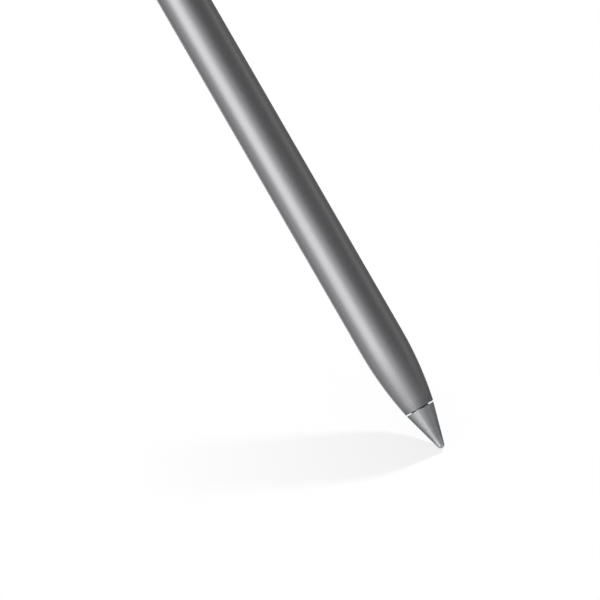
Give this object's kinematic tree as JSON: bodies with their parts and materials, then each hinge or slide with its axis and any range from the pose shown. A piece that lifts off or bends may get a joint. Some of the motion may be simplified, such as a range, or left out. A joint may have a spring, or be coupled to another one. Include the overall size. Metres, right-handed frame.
{
  "type": "stylus pen",
  "caption": "Slim round stylus pen with a tapered nose, a conical pressure-sensing nib that pulls off, and electronics, cell and charging coil inside a closed barrel.",
  "frame": {"origin": "the point of the nib, where the pen touches the page", "axes": "+Z along the pen from the nib to the end cap; +Y towards the side that charges against a tablet"},
  "size_m": [0.0088, 0.0088, 0.162],
  "materials": {
    "barrel_lacquer": "satin metallic grey lacquer",
    "nib_plastic": "smooth moulded grey",
    "brass": "turned",
    "copper": "bare copper",
    "spring_steel": "drawn",
    "white_plastic": "moulded",
    "black_plastic": "moulded",
    "soft_rubber": "matt",
    "chip_black": "moulded epoxy",
    "circuit_board": "solder mask",
    "ribbon_amber": "polyimide film",
    "tinned_sheet": "tinned",
    "capacitor_tan": "fired",
    "cell_can": "drawn can",
    "ferrite": "sintered",
    "magnet_nickel": "nickel plated"
  },
  "bodies": {
    "barrel": {"barrel": "barrel_lacquer", "end_cap": "barrel_lacquer", "front_bush": "black_plastic", "wiper_seal": "soft_rubber", "stop_washer": "soft_rubber", "tilt_electrode": "copper", "return_spring": "spring_steel", "sensor_housing": "black_plastic", "sensor_pad": "soft_rubber", "force_sensor": "chip_black", "sensor_board": "circuit_board", "sensor_plug": "black_plastic", "sensor_flex": "ribbon_amber", "chassis": "black_plastic", "main_board": "circuit_board", "radio_chip": "chip_black", "shield_can": "tinned_sheet", "controller_chip": "chip_black", "motion_sensor": "chip_black", "charger_chip": "chip_black", "board_capacitors": "capacitor_tan", "flex_connectors": "white_plastic", "board_screws": "spring_steel", "battery_cell": "cell_can", "battery_tabs": "tinned_sheet", "battery_foam": "soft_rubber", "main_flex": "ribbon_amber", "ferrite_plate": "ferrite", "charging_coil": "copper", "holding_magnets": "magnet_nickel", "touch_strip": "ribbon_amber", "lock_ring": "black_plastic", "antenna_carrier": "white_plastic", "antenna": "copper", "cap_seal": "soft_rubber"},
    "plunger": {"pressure_rod": "white_plastic"},
    "nib": {"nib": "nib_plastic", "nib_collet": "brass"}
  },
  "joints": [
    {"name": "nib_press", "type": "slide", "parent": "barrel", "child": "plunger", "axis": [0, 0, 1], "range_m": [0, 0.0002], "stiffness_N_per_m": 1500, "springref_m": -0.0003, "deforming": ["return_spring", "sensor_pad"]},
    {"name": "nib_pull_off", "type": "slide", "parent": "plunger", "child": "nib", "axis": [0, 0, -1], "range_m": [0, 0.01]}
  ]
}
